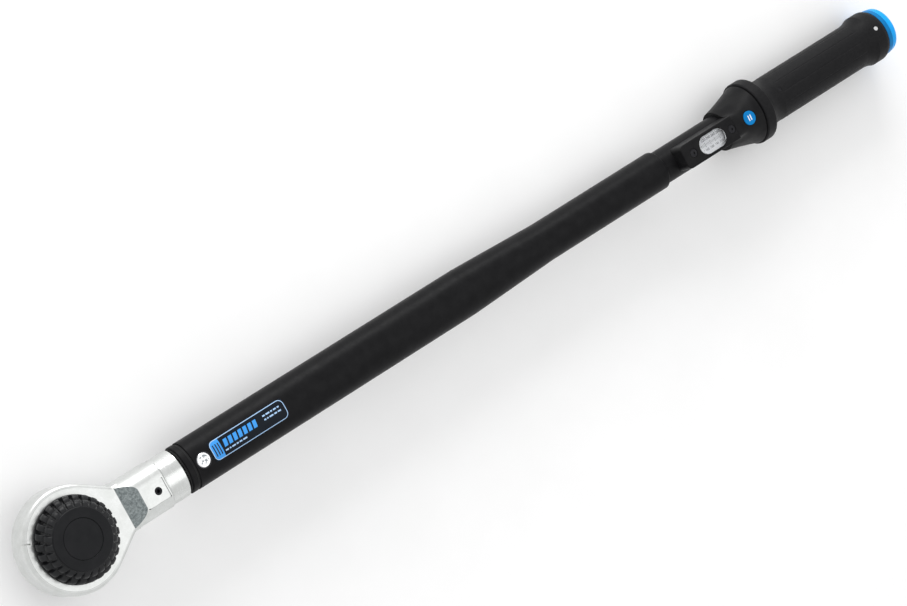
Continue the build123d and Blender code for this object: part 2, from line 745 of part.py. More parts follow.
with BuildPart() as scale_screw:
    disc(axis_height + 8.2, axis_height + 18, scale_screw_radius - fit, x=window_x)
save(scale_screw, "scale_screw")

thrust_x = (676.0, 682.0)
ball_ring_x = 686.0
bush_x = (690.0, 706.0)
with BuildPart() as spindle:
    bar(540, hub_x[1], spindle_radius)
    bar(thrust_x[0], thrust_x[1], 10.5)
    chamfer(faces().sort_by(Axis.X)[0].edges(), 1)
    chamfer(faces().sort_by(Axis.X)[-1].edges(), 1)
save(spindle, "spindle")

with BuildPart() as thrust_washers:
    for x0 in (thrust_x[1] + 0.02, bush_x[0] - 1.52):
        bar(x0, x0 + 1.5, 11.0)
    bar(thrust_x[1] - 1, bush_x[0] + 1, spindle_radius + 0.3, Mode.SUBTRACT)
save(thrust_washers, "thrust_washers")

with BuildPart() as thrust_balls:
    with BuildSketch(across(ball_ring_x)) as ball_circle:
        with PolarLocations(8.7, 9):
            Circle(0.5)
    for face in ball_circle.sketch.faces():
        with Locations(face.center()):
            Sphere(2.4)
save(thrust_balls, "thrust_balls")

with BuildPart() as end_bush:
    bar(bush_x[0], bush_x[1], handle_bore_radius - clear)
    bar(bush_x[0] - 1, bush_x[1] + 1, spindle_radius + 0.08, Mode.SUBTRACT)
save(end_bush, "end_bush")

# ------------------------------------------------------------------ grip
# The grip's screw and the hub's pin lie on one radius line, turned from the top by clock_angle.
pin_y = sin(radians(clock_angle))
pin_z = cos(radians(clock_angle))
hub_pin_start = 8.0


def radial_plane(x, radius):
    """A plane on the grip's clocked radius line at x, facing outwards."""
    origin = (x, radius * pin_y, axis_height + radius * pin_z)
    return Plane(origin=origin, x_dir=(1, 0, 0), z_dir=(0, pin_y, pin_z))


with BuildPart() as grip_sleeve:
    with BuildSketch(lengthwise):
        with BuildLine():
            Line((grip_start_x, grip_bore_radius), (grip_start_x, grip_flange_radius - 1.2))
            ThreePointArc(
                (grip_start_x, grip_flange_radius - 1.2),
                (grip_start_x + 0.4, grip_flange_radius - 0.35),
                (grip_start_x + 1.2, grip_flange_radius),
            )
            Line((grip_start_x + 1.2, grip_flange_radius), (grip_flange_x - 2, grip_flange_radius))
            ThreePointArc(
                (grip_flange_x - 2, grip_flange_radius),
                (grip_flange_x - 0.6, grip_flange_radius - 0.9),
                (grip_flange_x, grip_flange_radius - 2.5),
            )
            ThreePointArc(
                (grip_flange_x, grip_flange_radius - 2.5),
                (flange_skirt_x, grip_radius + 1.5),
                (grip_neck_x, grip_radius),
            )
            Line((grip_neck_x, grip_radius), (bulge_x[0], grip_radius))
            ThreePointArc(
                (bulge_x[0], grip_radius),
                (bulge_rise_x, grip_radius + 1),
                (bulge_x[1], bulge_radius),
            )
            Line((bulge_x[1], bulge_radius), (bulge_x[2], bulge_radius))
            ThreePointArc(
                (bulge_x[2], bulge_radius),
                (grip_end_x - 1.6, bulge_radius - 0.7),
                (grip_end_x, grip_end_radius),
            )
            Line((grip_end_x, grip_end_radius), (grip_end_x, grip_bore_radius))
            Line((grip_end_x, grip_bore_radius), (grip_start_x, grip_bore_radius))
        make_face()
    revolve(axis=tool_axis)
    with BuildSketch(radial_plane(hub_pin_x, handle_bore_radius)) as pin_hole:
        Circle(hub_pin_radius)
    extrude(pin_hole.sketch, amount=bulge_radius, mode=Mode.SUBTRACT)
    with BuildSketch(radial_plane(grip_screw_x, handle_bore_radius)) as screw_hole:
        Circle(grip_screw_radius)
    extrude(screw_hole.sketch, amount=bulge_radius, mode=Mode.SUBTRACT)
save(grip_sleeve, "grip_sleeve")

with BuildPart() as grip_screw:
    with BuildSketch(radial_plane(grip_screw_x, grip_bore_radius + 0.3)):
        Circle(grip_screw_radius - fit)
    extrude(amount=grip_radius - grip_bore_radius - 0.6)
save(grip_screw, "grip_screw")

with BuildPart() as grip_hub:
    bar(hub_x[0], hub_x[1], grip_bore_radius - fit)
    bar(hub_x[0] - 1, hub_x[1] + 1, spindle_radius + fit, Mode.SUBTRACT)
    with BuildSketch(radial_plane(hub_pin_x, hub_pin_start - 1)) as pin_hole:
        Circle(hub_pin_radius - fit)
    extrude(pin_hole.sketch, amount=bulge_radius, mode=Mode.SUBTRACT)
save(grip_hub, "grip_hub")

with BuildPart() as hub_pin:
    with BuildSketch(radial_plane(hub_pin_x, hub_pin_start)):
        Circle(hub_pin_radius - 0.05)
    extrude(amount=bulge_radius - hub_pin_start)
    chamfer(faces().sort_by(Axis.Z)[-1].edges(), 0.3)
save(hub_pin, "hub_pin")

# ------------------------------------------------------------------ setting lock in the end of the grip
o_ring_x = (hub_x[1] + 2.7, hub_x[1] + 4.3)
o_ring_inner_radius = grip_bore_radius - 1.7
lock_bore_radius = 9.0
with BuildPart() as cap_ring:
    bar(hub_x[1] + 1.2, cap_ring_x + 1, grip_bore_radius - 0.35)
    bar(cap_ring_x, cap_x, cap_ring_radius)
    chamfer(faces().sort_by(Axis.X)[-1].edges(), 0.3)
    with BuildSketch(across(o_ring_x[0] - 0.1)) as groove:
        Circle(grip_bore_radius + 1)
        Circle(o_ring_inner_radius - 0.02, mode=Mode.SUBTRACT)
    extrude(groove.sketch, amount=o_ring_x[1] - o_ring_x[0] + 0.2, mode=Mode.SUBTRACT)
    bar(hub_x[1], cap_x - 2, lock_bore_radius, Mode.SUBTRACT)
save(cap_ring, "cap_ring")

with BuildPart() as cap_o_ring:
    bar(o_ring_x[0], o_ring_x[1], grip_bore_radius - 0.1)
    bar(o_ring_x[0] - 1, o_ring_x[1] + 1, o_ring_inner_radius, Mode.SUBTRACT)
save(cap_o_ring, "cap_o_ring")

with BuildPart() as end_cap:
    with BuildSketch(lengthwise):
        with BuildLine():
            Line((cap_x, 0), (cap_x, cap_radius))
            Line((cap_x, cap_radius), (cap_x + 3, cap_radius - 0.3))
            ThreePointArc(
                (cap_x + 3, cap_radius - 0.3),
                (cap_end_x - 1, cap_radius - 1.3),
                (cap_end_x, cap_end_radius),
            )
            Line((cap_end_x, cap_end_radius), (cap_end_x, 0))
            Line((cap_end_x, 0), (cap_x, 0))
        make_face()
    revolve(axis=tool_axis)
save(end_cap, "end_cap")
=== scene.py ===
"""The looks of the click torque wrench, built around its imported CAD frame.

Everything is in metres in the row frame: +X runs from the drive square to the handle end and +Z up to the
mushroom disc. The tool rests on its drive square and on the flange of its grip.
"""
import json
from math import cos, pi, radians, sin, sqrt

import bmesh
import bpy
from mathutils import Matrix, Vector


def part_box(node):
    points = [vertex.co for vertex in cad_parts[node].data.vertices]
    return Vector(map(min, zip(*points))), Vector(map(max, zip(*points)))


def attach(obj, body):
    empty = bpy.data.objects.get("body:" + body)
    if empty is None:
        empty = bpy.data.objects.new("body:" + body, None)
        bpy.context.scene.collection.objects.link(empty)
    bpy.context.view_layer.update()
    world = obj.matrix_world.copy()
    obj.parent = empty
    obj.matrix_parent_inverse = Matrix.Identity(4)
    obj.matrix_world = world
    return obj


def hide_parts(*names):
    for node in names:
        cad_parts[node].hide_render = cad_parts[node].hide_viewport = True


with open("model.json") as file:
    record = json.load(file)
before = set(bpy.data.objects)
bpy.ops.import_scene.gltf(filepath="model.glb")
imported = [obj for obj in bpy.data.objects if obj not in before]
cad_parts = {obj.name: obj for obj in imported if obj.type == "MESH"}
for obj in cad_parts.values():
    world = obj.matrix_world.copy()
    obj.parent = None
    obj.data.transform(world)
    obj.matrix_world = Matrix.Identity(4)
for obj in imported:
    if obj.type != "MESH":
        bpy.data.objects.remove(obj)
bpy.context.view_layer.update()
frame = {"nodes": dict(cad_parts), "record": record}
nodes = frame["nodes"]
mm = 0.001


# ---------------------------------------------------------------- places read from the frame
def middle(node):
    """The middle of a CAD node's box."""
    low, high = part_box(node)
    return (low + high) / 2


axis_z = middle("end_cap").z
disc_low, disc_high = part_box("mushroom_disc")
label_low, label_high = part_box("label_plate")
strip_low, strip_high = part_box("scale_slide")
badge_low, badge_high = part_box("indicator_badge")
flange_low, flange_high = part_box("grip_sleeve")
pin_face_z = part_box("pivot_pin")[1].z
tube_half_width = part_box("main_tube")[1].y
head_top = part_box("ratchet_head")[1].z
square_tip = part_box("square_drive")[0].z


# ---------------------------------------------------------------- material helpers
class Shader:
    """A Principled material with short calls for procedural detail in object coordinates, in metres."""

    def __init__(self, name, colour, roughness, metallic=0.0, specular=0.5):
        self.material = bpy.data.materials.new(name)
        self.material.use_nodes = True
        self.tree = self.material.node_tree
        self.bsdf = self.tree.nodes["Principled BSDF"]
        self.bsdf.inputs["Base Color"].default_value = (*colour, 1)
        self.bsdf.inputs["Roughness"].default_value = roughness
        self.bsdf.inputs["Metallic"].default_value = metallic
        self.bsdf.inputs["Specular IOR Level"].default_value = specular
        self.place = self.node("ShaderNodeTexCoord").outputs["Object"]
        self.heights = []

    def node(self, kind, **settings):
        made = self.tree.nodes.new(kind)
        for key, value in settings.items():
            setattr(made, key, value)
        return made

    def link(self, source, target):
        self.tree.links.new(source, target)

    def mapped(self, stretch):
        """Object coordinates stretched along each axis by the given factors."""
        mapping = self.node("ShaderNodeMapping")
        mapping.inputs["Scale"].default_value = stretch
        self.link(self.place, mapping.inputs["Vector"])
        return mapping.outputs["Vector"]

    def noise(self, grain, detail=3.0, stretch=(1, 1, 1), rough=0.55):
        """Noise whose blotches are about grain millimetres across."""
        texture = self.node("ShaderNodeTexNoise")
        texture.inputs["Scale"].default_value = 1 / (grain * mm)
        texture.inputs["Detail"].default_value = detail
        texture.inputs["Roughness"].default_value = rough
        self.link(self.mapped(stretch), texture.inputs["Vector"])
        return texture.outputs["Fac"]

    def ramp(self, source, low, high, start=0.0, end=1.0):
        """source taken from the range low..high to start..end, and clamped."""
        node = self.node("ShaderNodeMapRange")
        self.link(source, node.inputs["Value"])
        for key, value in (("From Min", low), ("From Max", high), ("To Min", start), ("To Max", end)):
            node.inputs[key].default_value = value
        return node.outputs["Result"]

    def maths(self, operation, first, second=None):
        node = self.node("ShaderNodeMath", operation=operation)
        for value, socket in ((first, node.inputs[0]), (second, node.inputs[1])):
            if isinstance(value, (int, float)):
                socket.default_value = value
            elif value is not None:
                self.link(value, socket)
        return node.outputs[0]

    def along(self, axis):
        """One object coordinate, "X", "Y" or "Z"."""
        node = self.node("ShaderNodeSeparateXYZ")
        self.link(self.place, node.inputs[0])
        return node.outputs[axis]

    def radius(self):
        """Distance from the drive's axis, which is the frame's Z axis."""
        x, y = self.along("X"), self.along("Y")
        squares = self.maths("ADD", self.maths("MULTIPLY", x, x), self.maths("MULTIPLY", y, y))
        return self.maths("SQRT", squares)

    def facing(self, axis):
        """One part of the object-space surface normal."""
        node = self.node("ShaderNodeSeparateXYZ")
        self.link(self.node("ShaderNodeTexCoord").outputs["Normal"], node.inputs[0])
        return node.outputs[axis]

    def between(self, source, low, high, soft=0.2 * mm):
        """1 where source lies between low and high, with soft edges."""
        rise = self.ramp(source, low - soft, low + soft)
        fall = self.ramp(source, high - soft, high + soft, 1.0, 0.0)
        return self.maths("MULTIPLY", rise, fall)

    def mix(self, factor, first, second):
        """A colour mixed between two colours, each given as a tuple or a socket."""
        node = self.node("ShaderNodeMix", data_type="RGBA")
        self.link(factor, node.inputs["Factor"])
        for value, socket in ((first, node.inputs[6]), (second, node.inputs[7])):
            if isinstance(value, tuple):
                socket.default_value = (*value, 1)
            else:
                self.link(value, socket)
        return node.outputs[2]

    def colour(self, socket):
        self.link(socket, self.bsdf.inputs["Base Color"])

    def roughness(self, socket):
        self.link(socket, self.bsdf.inputs["Roughness"])

    def bump(self, height, depth, strength=1.0):
        """Add a bump whose full height is depth millimetres."""
        node = self.node("ShaderNodeBump")
        node.inputs["Strength"].default_value = strength
        node.inputs["Distance"].default_value = depth * mm
        self.link(height, node.inputs["Height"])
        if self.heights:
            self.link(self.heights[-1], node.inputs["Normal"])
        self.heights.append(node.outputs["Normal"])
        self.link(node.outputs["Normal"], self.bsdf.inputs["Normal"])


def moulded(name, colour, light, roughness, grain, depth, specular):
    """Moulded plastic or paint: a fine texture, slight cloudiness and slightly uneven gloss."""
    shader = Shader(name, colour, roughness, specular=specular)
    shader.colour(shader.mix(shader.ramp(shader.noise(9.0, 4), 0.35, 0.7), colour, light))
    shader.roughness(shader.ramp(shader.noise(3.0), 0.3, 0.7, roughness - 0.05, roughness + 0.06))
    shader.bump(shader.noise(grain, 2), depth, 0.5)
    return shader


def machined(name, colour, dark, roughness, stretch):
    """Turned, ground or drawn steel: fine lines along one direction."""
    shader = Shader(name, colour, roughness, metallic=1.0)
    lines = shader.noise(0.7, 4, stretch)
    shader.colour(shader.mix(shader.ramp(lines, 0.3, 0.75), colour, dark))
    shader.roughness(shader.ramp(lines, 0.3, 0.7, roughness - 0.06, roughness + 0.1))
    shader.bump(lines, 0.02, 0.6)
    return shader.material


# ---------------------------------------------------------------- materials
# Stretches of the head and the grip along X, and radii round the drive's axis
facet_x = (43.2 * mm, 57.4 * mm)
collar_x = (80.3 * mm, 96.5 * mm)
# Radius band, and fade along X, of the painted shade line at the housing's rim
painted_rim_shade_radius = (36.2 * mm, 36.6 * mm)
painted_rim_shade_fades_x = (14 * mm, 22 * mm)
lug_shine_radius = (22.4 * mm, 23.2 * mm)
barrel_x = (702 * mm, 793 * mm)
groove_angle = pi / 12


def plated_forging():
    """The head: satin plating over a blasted forging, with a dark rough slope, a painted shade line at the
    rim and a polished collar.
    """
    bright = (0.74, 0.755, 0.745)
    shaded = (0.62, 0.635, 0.62)
    shader = Shader("satin_plated_steel", bright, 0.36, metallic=1.0)
    x = shader.along("X")
    blotches = shader.ramp(shader.noise(7.0, 5), 0.35, 0.75)
    grain = shader.ramp(shader.noise(0.9, 3, rough=0.7), 0.35, 0.7)
    satin = shader.mix(blotches, shader.mix(grain, bright, (0.66, 0.67, 0.66)), shaded)
    # The sloped facets between the web and the shank, picked by facing back along X, are coloured dark and
    # blotchy.
    facet = shader.between(shader.facing("X"), -0.42, -0.22, 0.02)
    slope = shader.maths("MULTIPLY", shader.between(x, *facet_x), facet)
    slope_mottle = shader.ramp(shader.noise(1.8, 6, rough=0.75), 0.38, 0.64)
    # A fine painted shade line runs round the housing where its face turns into the rounded rim, fading out
    # along X.
    painted_rim_shade_mask = shader.between(shader.radius(), *painted_rim_shade_radius, 0.1 * mm)
    line = shader.maths("MULTIPLY", painted_rim_shade_mask, shader.ramp(x, *painted_rim_shade_fades_x, 0.55, 0.0))
    satin = shader.mix(line, satin, (0.30, 0.31, 0.30))
    shader.colour(shader.mix(slope, satin, shader.mix(slope_mottle, (0.16, 0.185, 0.19), (0.38, 0.42, 0.42))))
    collar = shader.between(x, *collar_x)
    satin_gloss = shader.ramp(shader.noise(1.2, 3), 0.3, 0.7, 0.30, 0.42)
    rougher = shader.maths("ADD", satin_gloss, shader.maths("MULTIPLY", slope, 0.2))
    shader.roughness(shader.maths("SUBTRACT", rougher, shader.maths("MULTIPLY", collar, 0.14)))
    pitted = shader.maths("MULTIPLY", shader.noise(1.1, 5, rough=0.65), shader.ramp(slope, 0, 1, 0.25, 1.8))
    calm = shader.maths("MULTIPLY", pitted, shader.ramp(collar, 0, 1, 1.0, 0.1))
    shader.bump(calm, 0.12, 0.7)
    return shader.material


def soft_touch():
    """The grip: fine grain, and shallow grooves along it between the flange and the bulge."""
    dark, light = (0.0085, 0.0085, 0.0093), (0.013, 0.013, 0.0138)
    shader = Shader("soft_touch_black", dark, 0.46, specular=0.09)
    shader.colour(shader.mix(shader.ramp(shader.noise(2.0, 4), 0.3, 0.75), dark, light))
    shader.roughness(shader.ramp(shader.noise(3.0), 0.3, 0.7, 0.42, 0.52))
    shader.bump(shader.noise(0.35, 2), 0.05, 0.5)
    height = shader.maths("SUBTRACT", shader.along("Z"), axis_z)
    angle = shader.maths("ARCTAN2", shader.along("Y"), height)
    # The angle is taken well above zero first, because PINGPONG mirrors about zero.
    wave = shader.maths("PINGPONG", shader.maths("ADD", angle, 9.3), groove_angle)
    groove = shader.ramp(wave, 0.012, 0.03, 0.0, 1.0)
    barrel = shader.between(shader.along("X"), *barrel_x, 3 * mm)
    shader.bump(shader.maths("MULTIPLY", shader.maths("SUBTRACT", groove, 1.0), barrel), 0.25, 1.0)
    return shader.material


def disc_nylon():
    """The mushroom disc: a matt top, and lugs polished by fingers."""
    shader = moulded("disc_nylon", (0.0095, 0.010, 0.0112), (0.013, 0.0135, 0.0148), 0.34, 0.3, 0.03, 0.12)
    gloss = shader.ramp(shader.radius(), *lug_shine_radius, 0.10, 0.24)
    shader.link(gloss, shader.bsdf.inputs["Specular IOR Level"])
    return shader.material


def clear_lens():
    shader = Shader("clear_lens", (0.97, 0.985, 0.99), 0.03, specular=0.5)
    shader.bsdf.inputs["Transmission Weight"].default_value = 1.0
    shader.bsdf.inputs["IOR"].default_value = 1.46
    shader.roughness(shader.ramp(shader.noise(4.0), 0.35, 0.7, 0.01, 0.05))
    return shader.material


def glossy(name, colour, deep, roughness, specular):
    """Glossy coloured plastic with a slight swirl in its colour."""
    shader = Shader(name, colour, roughness, specular=specular)
    shader.colour(shader.mix(shader.ramp(shader.noise(5.0, 4), 0.3, 0.75), colour, deep))
    shader.roughness(shader.ramp(shader.noise(2.0), 0.3, 0.7, roughness - 0.04, roughness + 0.06))
    shader.bump(shader.noise(0.8, 2), 0.01, 0.4)
    return shader.material


def printed(name, colour, worn):
    """Screen-printing ink: flat, with a little mottle."""
    shader = Shader(name, colour, 0.45, specular=0.3)
    shader.colour(shader.mix(shader.ramp(shader.noise(0.7, 3), 0.4, 0.8), colour, worn))
    shader.roughness(shader.ramp(shader.noise(1.0), 0.3, 0.7, 0.38, 0.52))
    return shader.material


near_black = (0.0075, 0.0075, 0.0082)
finishes = {
    "satin_nickel": plated_forging(),
    "polished_steel": machined("polished_steel", (0.88, 0.88, 0.88), (0.62, 0.63, 0.65), 0.16, (1, 1, 0.2)),
    "machined_steel": machined("turned_steel", (0.62, 0.62, 0.62), (0.48, 0.48, 0.49), 0.32, (1, 0.1, 0.1)),
    "hardened_steel": machined("hardened_steel", (0.34, 0.34, 0.36), (0.24, 0.24, 0.26), 0.38, (1, 1, 0.15)),
    "black_oxide": machined("black_oxide", (0.035, 0.035, 0.038), (0.02, 0.02, 0.022), 0.36, (1, 1, 0.4)),
    "brass": machined("bearing_brass", (0.62, 0.45, 0.20), (0.50, 0.36, 0.16), 0.3, (1, 0.15, 0.15)),
    "grip_plastic": soft_touch(),
    "disc_plastic": disc_nylon(),
    "lens": clear_lens(),
    "badge_blue": glossy("badge_blue", (0.003, 0.17, 0.46), (0.004, 0.20, 0.52), 0.3, 0.08),
    "cap_blue": glossy("cap_blue", (0.010, 0.33, 0.82), (0.016, 0.38, 0.88), 0.3, 0.12),
    "ring_blue": glossy("ring_blue", (0.003, 0.15, 0.40), (0.005, 0.19, 0.46), 0.3, 0.10),
    "label_print": glossy("label_film", (0.006, 0.009, 0.014), (0.008, 0.012, 0.018), 0.36, 0.10),
}
# A moulded or painted finish: name, colour, lighter colour, roughness, grain and its depth in mm, specular.
for slot, settings in (
    ("black_tube", ("black_powder_coat", near_black, (0.011, 0.011, 0.0118), 0.36, 0.5, 0.03, 0.07)),
    ("black_plastic", ("black_nylon", near_black, (0.012, 0.012, 0.0125), 0.42, 0.3, 0.05, 0.08)),
    ("rubber", ("black_rubber", (0.010, 0.010, 0.011), (0.018, 0.018, 0.018), 0.66, 0.4, 0.06, 0.25)),
    ("scale_white", ("scale_card", (0.80, 0.79, 0.82), (0.88, 0.88, 0.89), 0.5, 0.3, 0.01, 0.2)),
):
    finishes[slot] = moulded(*settings).material
slot_of = {entry["node"]: entry["material_slot"] for entry in frame["record"]["subparts"]}
for name, node in nodes.items():
    node.data.materials.clear()
    node.data.materials.append(finishes[slot_of[name]])
nodes["scale_lens"].visible_shadow = False


# ---------------------------------------------------------------- mesh helpers
def piece_from(name, vertices, faces, material, body, smooth=True):
    """A mesh piece in the row frame that rides on a body."""
    mesh = bpy.data.meshes.new(name)
    mesh.from_pydata([tuple(v) for v in vertices], [], faces)
    mesh.validate()
    edit = bmesh.new()
    edit.from_mesh(mesh)
    bmesh.ops.recalc_face_normals(edit, faces=edit.faces)
    edit.to_mesh(mesh)
    edit.free()
    piece = bpy.data.objects.new(name, mesh)
    bpy.context.scene.collection.objects.link(piece)
    mesh.materials.append(material)
    if smooth:
        mesh.shade_smooth()
        mesh.set_sharp_from_angle(angle=radians(32))
    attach(piece, body)
    return piece


def closed_rings(rings):
    """Vertices and faces of a torus-like surface through closed rings with equal numbers of points."""
    count = len(rings[0])
    vertices = [point for ring in rings for point in ring]
    faces = []
    for i in range(len(rings)):
        following = (i + 1) % len(rings)
        for j in range(count):
            after = (j + 1) % count
            faces.append((i * count + j, i * count + after, following * count + after, following * count + j))
    return vertices, faces


# ---------------------------------------------------------------- mushroom disc
lug_count = 26
lug_slant = radians(7)
gap_share = 0.17


def mushroom_disc():
    """The disc with its two tiers of slanted finger lugs, turned from one closed profile."""
    top = disc_high.z
    low = disc_low.z
    # Each row is radius, height, depth of the gaps between lugs there, and how far the slant has turned.
    profile = [
        (4.2, 3.0, 0, 0), (12.02, 3.0, 0, 0), (12.02, 0.0, 0, 0),
        # thin base ring
        (31.4, 0.0, 0, 0), (31.9, 0.3, 0, 0), (31.9, 1.1, 0, 0), (31.5, 1.4, 0, 0), (29.0, 1.5, 0, 0),
        # lower tier of lugs
        (29.0, 2.0, 0.3, 0.05), (30.9, 2.1, 2.2, 0.05), (31.4, 2.5, 3.0, 0.1), (31.6, 3.8, 3.2, 0.2),
        (31.5, 5.2, 3.2, 0.3), (31.0, 6.4, 3.0, 0.4), (30.0, 7.4, 2.6, 0.45), (28.6, 8.1, 1.8, 0.5),
        (27.2, 8.3, 0.6, 0.5), (26.6, 8.5, 0, 0.52),
        # upper tier of lugs
        (26.6, 9.0, 0.2, 0.55), (27.5, 9.2, 1.5, 0.55), (27.7, 9.7, 2.2, 0.6), (27.4, 10.9, 2.3, 0.7),
        (26.6, 12.1, 2.2, 0.8), (25.4, 13.1, 1.8, 0.88), (24.2, 13.6, 1.0, 0.94), (23.4, 13.7, 0.2, 1),
        # rim and flat top
        (22.8, 13.8, 0, 1), (22.7, 14.35, 0, 1), (22.2, 14.8, 0, 1), (15.1, 14.8, 0, 1),
        (15.0, 14.7, 0, 1), (15.0, 6.5, 0, 0), (4.2, 6.5, 0, 0),
    ]
    edge = gap_share
    # Each column of a lug is its share of the lug's width and how much of the gap's depth is cut there.
    columns = (
        (0.0, 1.0), (edge - 0.07, 1.0), (edge - 0.03, 0.75), (edge, 0.3), (edge + 0.035, 0.07),
        (edge + 0.09, 0.0), (0.5, -0.03), (0.91 - edge, 0.0),
        (0.965 - edge, 0.07), (1 - edge, 0.3), (1.03 - edge, 0.75), (1.07 - edge, 1.0),
    )
    rings = []
    for radius, height, depth, turn in profile:
        ring = []
        for lug in range(lug_count):
            for share, cut in columns:
                angle = 2 * pi * (lug + share) / lug_count + turn * lug_slant
                reduced = (radius - cut * depth) * mm
                ring.append((reduced * cos(angle), reduced * sin(angle), min(top, low + height * mm)))
        rings.append(ring)
    vertices, faces = closed_rings(rings)
    disc = piece_from("lugged_disc", vertices, faces, finishes["disc_plastic"], "drive")
    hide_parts("mushroom_disc")


mushroom_disc()


# ---------------------------------------------------------------- milled panel and pivot pin face
def ringed_plate(name, outer, inner, z, material, body):
    """A flat plate between two matching loops, with its top at z."""
    rings = [
        [Vector((x, y, height)) for x, y in loop]
        for loop, height in ((outer, z - face_thickness), (outer, z), (inner, z), (inner, z - face_thickness))
    ]
    vertices, faces = closed_rings(rings)
    return piece_from(name, vertices, faces, material, body, smooth=False)


def circle(x, y, radius, count=48):
    """Points of a circle, anticlockwise."""
    angles = [2 * pi * k / count for k in range(count)]
    return [(x + radius * cos(angle), y + radius * sin(angle)) for angle in angles]


face_thickness = 0.05 * mm
panel_depth = 0.8 * mm
panel_lift, pin_lift = 0.06 * mm, 0.03 * mm
screw_seat_radius = 2.95 * mm


def panel_face():
    """The smooth milled face of the panel round the head's set screw."""
    x0, x1, y0, y1 = 57.6 * mm, 77.4 * mm, -9.7 * mm, 5.7 * mm
    screw = middle("head_set_screw")
    outer = []
    for x, y in circle(0, 0, 1):
        reach_x = (x1 - screw.x if x > 0 else screw.x - x0) / max(abs(x), 1e-6)
        reach_y = (y1 - screw.y if y > 0 else screw.y - y0) / max(abs(y), 1e-6)
        reach = min(reach_x, reach_y)
        outer.append((screw.x + x * reach, screw.y + y * reach))
    inner = circle(screw.x, screw.y, screw_seat_radius)
    z = head_top - panel_depth + panel_lift
    ringed_plate("panel_face", outer, inner, z, finishes["satin_nickel"], "head")


def pin_face():
    """The pivot pin's face: polished steel with a few dark patches of painted reflection."""
    shader = Shader("pin_face", (0.80, 0.81, 0.82), 0.18, metallic=1.0)
    # Painted reflection: dark patches in the colour stand in for what the polished face reflects.
    patches = shader.ramp(shader.noise(2.2, 2), 0.50, 0.56)
    shader.colour(shader.mix(patches, (0.82, 0.83, 0.84), (0.22, 0.24, 0.25)))
    shader.roughness(shader.ramp(shader.noise(0.8), 0.3, 0.7, 0.12, 0.25))
    pin = middle("pivot_pin")
    outer, inner = [circle(pin.x, pin.y, radius * mm) for radius in (3.9, 0.3)]
    ringed_plate("pin_face", outer, inner, pin_face_z + pin_lift, shader.material, "tube")


panel_face()
pin_face()

# ---------------------------------------------------------------- label print
ink_blue = printed("ink_blue", (0.045, 0.33, 0.83), (0.03, 0.25, 0.70))
ink_pale = printed("ink_pale_blue", (0.42, 0.62, 0.88), (0.30, 0.50, 0.80))
ink_dark = printed("ink_dark", (0.006, 0.009, 0.02), (0.01, 0.014, 0.03))
label_half_width = tube_half_width + 0.25 * mm
label_half_height = label_high.z - axis_z
ink_thickness = 0.05 * mm
film_gap = 0.03 * mm


def on_label(x, y, lift):
    """A point on the label's curved face, lifted off it."""
    rise = (label_half_height + lift) * sqrt(1 - (y / (label_half_width + lift)) ** 2)
    return Vector((x, y, axis_z + rise))


def rounded_outline(x0, x1, y0, y1, radius, steps=6):
    """Points of a rounded rectangle, anticlockwise."""
    points = []
    corners = ((x1, y0, -90), (x1, y1, 0), (x0, y1, 90), (x0, y0, 180))
    for x, y, start in corners:
        centre_x = x + (-radius if x == x1 else radius)
        centre_y = y + (-radius if y == y1 else radius)
        for step in range(steps + 1):
            angle = radians(start + 90 * step / steps)
            points.append((centre_x + radius * cos(angle), centre_y + radius * sin(angle)))
    return points


def spaced(loop, step):
    """A closed loop with points added so that none are further apart than step along its sides."""
    points = []
    for k, (x, y) in enumerate(loop):
        next_x, next_y = loop[(k + 1) % len(loop)]
        parts = max(1, round(sqrt((next_x - x) ** 2 + (next_y - y) ** 2) / step))
        points += [(x + (next_x - x) * j / parts, y + (next_y - y) * j / parts) for j in range(parts)]
    return points


def ink_band(name, outer, inner, material):
    """A printed outline on the label between two matching loops, with a real thickness."""
    top = film_gap + ink_thickness
    rings = [
        [on_label(x, y, lift) for x, y in loop]
        for loop, lift in ((outer, film_gap), (outer, top), (inner, top), (inner, film_gap))
    ]
    vertices, faces = closed_rings(rings)
    piece_from(name, vertices, faces, material, "tube")


def ink_patches(name, patches, material, surface, body, lift=film_gap, slices=4):
    """Printed quadrilaterals given as corner lists, cut into slices so that they follow the curve."""
    vertices, faces = [], []
    top = lift + ink_thickness
    for a, b, c, d in patches:
        for k in range(slices):
            corners = []
            for share in (k / slices, (k + 1) / slices):
                left = [a[i] + share * (d[i] - a[i]) for i in (0, 1)]
                right = [b[i] + share * (c[i] - b[i]) for i in (0, 1)]
                corners.append((left, right))
            (l0, r0), (l1, r1) = corners
            base = len(vertices)
            for height in (lift, top):
                vertices += [surface(*p, height) for p in (l0, r0, r1, l1)]
            faces.append((base + 4, base + 5, base + 6, base + 7))
            faces.append((base + 3, base + 2, base + 1, base))
            # Side 0 closes the first slice and side 2 the last; sides 1 and 3 run along every slice.
            for i, j in ((0, 1), (1, 2), (2, 3), (3, 0)):
                if i in (1, 3) or (k == 0 and i == 0) or (k == slices - 1 and i == 2):
                    faces.append((base + i, base + j, base + j + 4, base + i + 4))
    piece = piece_from(name, vertices, faces, material, body, smooth=False)
    edit = bmesh.new()
    edit.from_mesh(piece.data)
    bmesh.ops.remove_doubles(edit, verts=edit.verts, dist=1e-7)
    edit.to_mesh(piece.data)
    edit.free()


def block_patches(x0, x1, y0, y1, radius, columns=12):
    """Upright patches that fill a block whose corners at x0 are rounded."""
    def limits(x):
        short = max(0.0, x0 + radius - x)
        pull = radius - sqrt(max(0.0, radius ** 2 - short ** 2))
        return y0 + pull, y1 - pull

    patches = []
    for k in range(columns):
        left = x0 + (x1 - x0) * k / columns
        right = x0 + (x1 - x0) * (k + 1) / columns
        (left_low, left_high), (right_low, right_high) = limits(left), limits(right)
        patches.append(((left, left_low), (right, right_low), (right, right_high), (left, left_high)))
    return patches


def upright(left, right, low, high, lean=0.0):
    """A four-sided patch, with its upper side shifted along the tool by lean."""
    return (left, low), (right, low), (right + lean, high), (left + lean, high)


